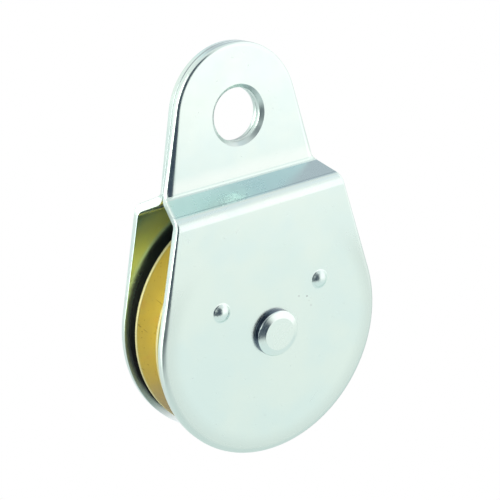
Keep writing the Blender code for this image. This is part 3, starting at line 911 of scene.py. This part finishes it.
def eye_seam(nodes, place):
    """Mask of the seam between the two eye plates, seen from outside, which gets painted shade."""
    near = nodes.fall(nodes.maths("ABSOLUTE", nodes.parts(place)["Y"]), *SEAM)
    return nodes.times(near, nodes.span(distance_from(nodes, place, 0.0), *SEAM_OUTSIDE))


def cheek_border(nodes, place, reach):
    """Mask of the cheek's border outside a reach of distances from the axle."""
    ring = nodes.span(distance_from(nodes, place, AXLE_Z), *reach)
    return nodes.times(ring, nodes.fall(nodes.parts(place)["Z"], *BORDER_TOP))


def dimple_share(nodes, place):
    """Mask of the two dimples."""
    where = nodes.parts(place)
    across = nodes.maths("SUBTRACT", nodes.maths("ABSOLUTE", where["X"]), DIMPLE_OFFSET)
    up = nodes.maths("SUBTRACT", where["Z"], AXLE_Z + DIMPLE_RISE)
    return nodes.fall(nodes.length(across, up), *DIMPLE_REACH)


def marks_at(nodes, place, spots):
    """Mask of small marks, each (x, y, z, radius) in millimetres."""
    mask = 0.0
    for x, y, z, radius in spots:
        away = nodes.add("ShaderNodeVectorMath", operation="DISTANCE")
        nodes.link(place, away.inputs[0])
        away.inputs[1].default_value = (x * MM, y * MM, z * MM)
        spot = nodes.fall(away.outputs["Value"], radius * MM, (radius + MARK_BLUR) * MM)
        mask = nodes.larger(mask, spot)
    return mask


def bent_stretch(nodes, place, tone):
    """Tints in painted light: a painted reflection across the slope, painted shade in the inner bend, a
    painted sheen on the eye just above it, and a painted shade line along the bending edge below.
    """
    where = nodes.parts(place)
    height = where["Z"]
    slope = nodes.blend(nodes.span(where["X"], *SLOPE_ACROSS), ZINC_SLOPE_LEFT, ZINC_SLOPE_RIGHT)
    tone = nodes.tint(tone, nodes.span(nodes.facing()["Z"], *SLOPING), slope)
    tone = nodes.tint(tone, nodes.between(height, *INNER_BEND_SHADE), ZINC_INNER_BEND_SHADE)
    foot = nodes.times(nodes.span(height, *FOOT_START), nodes.fall(height, *FOOT_END))
    tone = nodes.tint(tone, foot, ZINC_PAINTED_SHEEN, strength=0.9)
    line = nodes.between(height, BEND_LINE, BEND_LINE + BEND_LINE_WIDTH, BEND_LINE_BLUR)
    return nodes.tint(tone, line, ZINC_BEND_SHADE_LINE, strength=0.45)


def cheek_inside(nodes, place):
    """The zinc between the cheeks: painted shade at the top, a painted yellow-green reflection of the
    sheave below, then darker, then painted light at the bottom.
    """
    height = nodes.parts(place)["Z"]
    tone = nodes.blend(nodes.span(height, *INSIDE_TOP), ZINC_INSIDE, ZINC_INSIDE_TOP)
    tone = nodes.tint(tone, nodes.fall(height, *INSIDE_DARK_BAND), ZINC_INSIDE_DARK)
    return nodes.tint(tone, nodes.fall(height, *INSIDE_LOW), ZINC_INSIDE_LOW)


def zinc_wear(nodes, place):
    """Mask of the fine scratches and pits on the flat zinc."""
    marks = nodes.larger(scratches(nodes, place, scale=700.0, angle=0.5, thin=0.71),
                         scratches(nodes, place, scale=620.0, angle=-0.9, thin=0.72))
    pits = nodes.span(nodes.noise(place, scale=900.0, detail=1.0), 0.76, 0.79)
    return nodes.times(nodes.larger(nodes.times(marks, 0.6), pits), flat_share(nodes))


def zinc_colour(nodes, place, worn):
    cloud = nodes.noise(place, scale=45.0, roughness=0.6)
    tone = nodes.blend(nodes.span(cloud, 0.35, 0.65), ZINC, ZINC_COOL)
    tone = nodes.tint(tone, worn, ZINC_WORN_AND_SHADE, strength=0.2)
    tone = nodes.tint(tone, marks_at(nodes, place, HANDLING_MARKS), ZINC_MARK, strength=0.7)
    tone = bent_stretch(nodes, place, tone)
    # Painted shade round the cheek's border
    tone = nodes.tint(tone, cheek_border(nodes, place, SHADED_BORDER), ZINC_BORDER_SHADE, strength=0.95)
    # Painted shade in the seam between the eye plates
    tone = nodes.tint(tone, eye_seam(nodes, place), ZINC_SEAM)
    # Painted shade in the eye hole, over its wall and coined lip
    tone = nodes.tint(tone, coined_lip(nodes, place), ZINC_WORN_AND_SHADE)
    # Painted shade and painted reflection between the cheeks
    tone = nodes.blend(inner_face(nodes, place), tone, cheek_inside(nodes, place))
    # Painted shade on the heads' sides, in the corner on the plate
    return nodes.tint(tone, head_side(nodes, place), ZINC_SHADED)


def zinc_roughness(nodes, place, worn):
    haze = nodes.noise(place, scale=130.0, detail=4.0, roughness=0.6)
    gloss = nodes.raised(nodes.span(haze, 0.3, 0.7, 0.18, 0.25), worn, 0.12)
    gloss = nodes.raised(gloss, head_surround(nodes, place), 0.05)
    gloss = nodes.raised(gloss, worked_metal(nodes, place), 0.20)
    gloss = nodes.raised(gloss, dimple_share(nodes, place), 0.07)
    return nodes.raised(gloss, cheek_border(nodes, place, ROUGH_BORDER), 0.10)


def zinc_plate():
    """Bright zinc with a clear passivate: pale mint, glossy, with light handling marks."""
    made, nodes, shader, place = new_metal("zinc_plate_finish")
    worn = zinc_wear(nodes, place)
    nodes.link(zinc_colour(nodes, place, worn), shader.inputs["Base Color"])
    nodes.link(zinc_roughness(nodes, place, worn), shader.inputs["Roughness"])
    wave = nodes.noise(place, scale=110.0, detail=2.0)
    grain = nodes.noise(place, scale=2600.0, detail=2.0)
    height = nodes.raised(nodes.raised(wave, grain, 0.005), worn, -0.02)
    add_bump(nodes, shader, height, 0.04 * MM)
    return made


def gold_wear(nodes, place):
    """Mask of the scratches and specks that the press left."""
    marks = nodes.larger(scratches(nodes, place, scale=900.0, angle=0.7, thin=0.64),
                         scratches(nodes, place, scale=760.0, angle=-0.4, thin=0.67))
    return nodes.larger(marks, nodes.span(nodes.noise(place, scale=1500.0, detail=1.0), 0.70, 0.74))


def gold_colour(nodes, place, worn):
    drift = nodes.noise(place, scale=60.0, roughness=0.6)
    tone = nodes.blend(nodes.span(drift, 0.35, 0.6), GOLD, GOLD_PALE)
    blush = nodes.span(nodes.noise(place, scale=140.0, detail=2.0), 0.55, 0.7)
    tone = nodes.tint(tone, blush, GOLD_ROSY, strength=0.5)
    tone = nodes.tint(tone, worn, GOLD_WORN, strength=0.5)
    # Painted shade, browner towards the bottom of the sheave
    tone = nodes.tint(tone, nodes.fall(nodes.parts(place)["Z"], *GOLD_LOW_PART), GOLD_LOW)
    # Painted shade on the rear flank
    tone = nodes.tint(tone, rear_face(nodes, place), GOLD_REAR_SHADE)
    rim = nodes.span(distance_from(nodes, place, AXLE_Z), *GOLD_RIM_EDGE)
    return nodes.tint(tone, rim, GOLD_RIM)


def yellow_zinc():
    """Zinc with a yellow passivate: gold with pale and rosy drifts, satin, with painted shade browner
    low down and darker on the rear flank.
    """
    made, nodes, shader, place = new_metal("yellow_zinc_finish", GOLD_METALLIC)
    worn = gold_wear(nodes, place)
    nodes.link(gold_colour(nodes, place, worn), shader.inputs["Base Color"])
    haze = nodes.noise(place, scale=220.0, detail=4.0, roughness=0.6)
    nodes.link(nodes.span(haze, 0.3, 0.7, 0.48, 0.60), shader.inputs["Roughness"])
    grain = nodes.noise(place, scale=1800.0)
    add_bump(nodes, shader, nodes.raised(nodes.times(grain, 0.4), worn, -0.4), 0.006 * MM)
    return made


def bronze():
    """Sintered bronze: matt, brown and finely pored."""
    made, nodes, shader, place = new_metal("sintered_bronze_finish")
    drift = nodes.noise(place, scale=150.0, detail=4.0)
    pores = nodes.span(nodes.noise(place, scale=3500.0, detail=2.0), 0.58, 0.68)
    tone = nodes.blend(nodes.span(drift, 0.35, 0.65), BRONZE, BRONZE_DARK)
    nodes.link(nodes.tint(tone, pores, BRONZE_PORE, strength=0.7), shader.inputs["Base Color"])
    nodes.link(nodes.span(drift, 0.3, 0.7, 0.38, 0.52), shader.inputs["Roughness"])
    add_bump(nodes, shader, nodes.maths("SUBTRACT", 1.0, pores), 0.01 * MM)
    return made


def turned_steel():
    """Turned steel with a film of oil: grey, with fine rings left by the tool."""
    made, nodes, shader, place = new_metal("turned_steel_finish")
    line = nodes.add("ShaderNodeCombineXYZ")
    nodes.link(distance_from(nodes, place, AXLE_Z), line.inputs["X"])
    nodes.link(nodes.parts(place)["Y"], line.inputs["Y"])
    rings = nodes.noise(line.outputs[0], scale=9000.0, detail=2.0)
    smear = nodes.noise(place, scale=120.0)
    tone = nodes.blend(nodes.span(smear, 0.35, 0.65), STEEL, STEEL_DARK)
    nodes.link(tone, shader.inputs["Base Color"])
    nodes.link(nodes.span(smear, 0.3, 0.7, 0.20, 0.36), shader.inputs["Roughness"])
    add_bump(nodes, shader, rings, 0.004 * MM)
    return made


def make_cheeks(finish):
    """The two cheek plates, the same stamping turned back to back."""
    front = cheek_mesh("cheek")
    rear = front.copy()
    rear.transform(Matrix.Rotation(pi, 4, "Z"))
    add_piece("front_cheek", front, "front_cheek_plate", "block", finish)
    add_piece("rear_cheek", rear, "rear_cheek_plate", "block", finish)


def make_axle(finish):
    """The axle; its front head was upset a little off centre and not quite round."""
    mesh = revolved_mesh("axle", axle_section(), False, -1)
    for vertex in mesh.vertices:
        if vertex.co.y < -(HALF_SPACING + PLATE):
            vertex.co.x += HEAD_OFFSET
            vertex.co.z = AXLE_Z + (vertex.co.z - AXLE_Z) * HEAD_SQUASH
    add_piece("axle", mesh, "axle_rivet", "block", finish)


def make_spacer_and_washers(finish):
    tube = ring_section(SPACER_BORE, SPACER_RADIUS, SEAT - HALF_SPACING, HALF_SPACING - SEAT)
    add_piece("spacer", revolved_mesh("spacer", tube, True, -1), "spacer_tube", "block",
              finish)
    washer = ring_section(BUSHING_BORE, WASHER_RADIUS, WASHER_FACE - WASHER_THICKNESS, WASHER_FACE)
    for side, facing in (("front", -1), ("rear", 1)):
        add_piece(f"{side}_washer", revolved_mesh(f"{side}_washer", washer, True, facing),
                  f"{side}_thrust_washer", "block", finish)


def make_bushing(finish):
    section = ring_section(BUSHING_BORE, BUSHING_RADIUS, -BUSHING_END, BUSHING_END)
    add_piece("bushing", revolved_mesh("bushing", section, True, -1), "hub_bushing", "sheave",
              finish)


def make_sheave(finish):
    """Both pressed halves of the sheave and the rivets through their web."""
    drill = rivet_drill()
    section = thickened(sheave_layer(), SHEAVE_SHEET, SHEAVE_RIM_ROUNDING)
    for side, facing in (("front", -1), ("rear", 1)):
        half = cut_away(revolved_mesh(f"{side}_sheave", section, True, facing), drill)
        half.materials.clear()
        add_piece(f"{side}_sheave", half, f"{side}_sheave_half", "sheave", finish)
    bpy.data.objects.remove(drill, do_unlink=True)
    for number, place in enumerate(rivet_places(), 1):
        rivet = revolved_mesh(f"rivet_{number}", rivet_section(), False, -1, SMALL_STEPS, place)
        add_piece(f"rivet_{number}", rivet, f"sheave_rivet_{number}", "sheave", finish)


def make_camera():
    """The photograph's viewpoint."""
    yaw = Matrix.Rotation(CAMERA_YAW, 3, "Z")
    pitch = Matrix.Rotation(CAMERA_PITCH, 3, "X")
    roll = Matrix.Rotation(-CAMERA_ROLL, 3, "Y").transposed()
    turn = (roll @ pitch @ yaw).transposed()
    away = Vector((CAMERA_RIGHT, -CAMERA_DISTANCE, CAMERA_UP))
    data = bpy.data.cameras.new("camera")
    data.lens = CAMERA_LENS
    data.sensor_width = SENSOR
    data.sensor_fit = "HORIZONTAL"
    camera = put("camera", data)
    look = Matrix((turn.col[0], turn.col[2], -turn.col[1])).transposed().to_4x4()
    camera.matrix_world = Matrix.Translation(turn @ away + Vector((0.0, 0.0, AXLE_Z))) @ look
    bpy.context.scene.camera = camera


# The studio's tones by height, as the Z of the direction
STUDIO_BELOW = (0.86, 0.91, 0.93)
STUDIO_LEVEL = (1.0, 1.0, 1.0)
STUDIO_ABOVE = (0.93, 0.91, 0.93)
BELOW_TO_LEVEL = -0.62, -0.44
LEVEL_TO_ABOVE = 0.45, 0.75

# Its soft round patches: azimuth, elevation, and the radii of the full tone and of its end, in degrees
STUDIO_GLOW = (1.36, 1.26, 1.30)
STUDIO_DARK = (0.04, 0.06, 0.095)
STUDIO_PATCHES = (
    (138.0, 42.0, 20.0, 27.0, (0.67, 0.63, 0.67)),
    (56.0, 54.0, 7.0, 15.0, (0.86, 0.89, 0.97)),
    (66.0, 47.0, 3.0, 11.0, (0.76, 0.82, 0.95)),
    (118.0, -32.0, 12.0, 26.0, (0.50, 0.54, 0.54)),
    (74.0, 26.0, 16.0, 28.0, STUDIO_GLOW),
    (36.0, 22.0, 9.0, 15.0, STUDIO_GLOW),
    (33.0, 4.0, 13.0, 25.0, (1.42, 1.30, 1.34)),
    (62.0, 2.0, 16.0, 24.0, STUDIO_GLOW),
    (-152.0, -24.0, 16.0, 34.0, (0.86, 0.88, 0.90)),
    (-102.0, 18.0, 20.0, 36.0, (5.6, 5.5, 5.1)),
    (-14.0, 28.0, 22.0, 27.0, STUDIO_DARK),
    (-14.0, -1.0, 20.0, 24.0, STUDIO_DARK),
    (-46.0, -4.0, 20.0, 25.0, STUDIO_DARK),
)


def toward(azimuth, elevation):
    """Unit vector; azimuth 0 is straight in front of the block, and it grows to the right."""
    a, e = radians(azimuth), radians(elevation)
    return sin(a) * cos(e), -cos(a) * cos(e), sin(e)


def studio_tone(nodes, direction):
    """The surroundings' colour: each patch in turn is laid over the ones before."""
    height = nodes.parts(direction)["Z"]
    tone = nodes.blend(nodes.span(height, *BELOW_TO_LEVEL), STUDIO_BELOW, STUDIO_LEVEL)
    tone = nodes.tint(tone, nodes.span(height, *LEVEL_TO_ABOVE), STUDIO_ABOVE)
    for azimuth, elevation, full, none, colour in STUDIO_PATCHES:
        nearness = nodes.add("ShaderNodeVectorMath", operation="DOT_PRODUCT")
        nodes.link(direction, nearness.inputs[0])
        nearness.inputs[1].default_value = toward(azimuth, elevation)
        reach = cos(radians(none)), cos(radians(full))
        tone = nodes.tint(tone, nodes.span(nearness.outputs["Value"], *reach), colour)
    return tone


def make_world():
    """A pale studio, bright to the right, with a softbox at the left and dark where one stands."""
    world = bpy.data.worlds.new("studio")
    bpy.context.scene.world = world
    world.use_nodes = True
    tree = world.node_tree
    tree.nodes.clear()
    nodes = Nodes(tree)
    tone = studio_tone(nodes, nodes.add("ShaderNodeTexCoord").outputs["Generated"])

    path = nodes.add("ShaderNodeLightPath")
    seen = nodes.add("ShaderNodeBackground", Strength=1.0, Color=(1.0, 1.0, 1.0, 1.0))
    lit = nodes.add("ShaderNodeBackground", Strength=1.0)
    nodes.link(tone, lit.inputs["Color"])
    mix = nodes.add("ShaderNodeMixShader")
    nodes.link(path.outputs["Is Camera Ray"], mix.inputs[0])
    nodes.link(lit.outputs[0], mix.inputs[1])
    nodes.link(seen.outputs[0], mix.inputs[2])
    output = nodes.add("ShaderNodeOutputWorld")
    nodes.link(mix.outputs[0], output.inputs["Surface"])


bpy.context.scene.view_settings.view_transform = "Standard"
make_camera()
make_world()
zinc = zinc_plate()
yellow = yellow_zinc()
steel = turned_steel()
make_cheeks(zinc)
make_axle(zinc)
make_spacer_and_washers(steel)
make_bushing(bronze())
make_sheave(yellow)
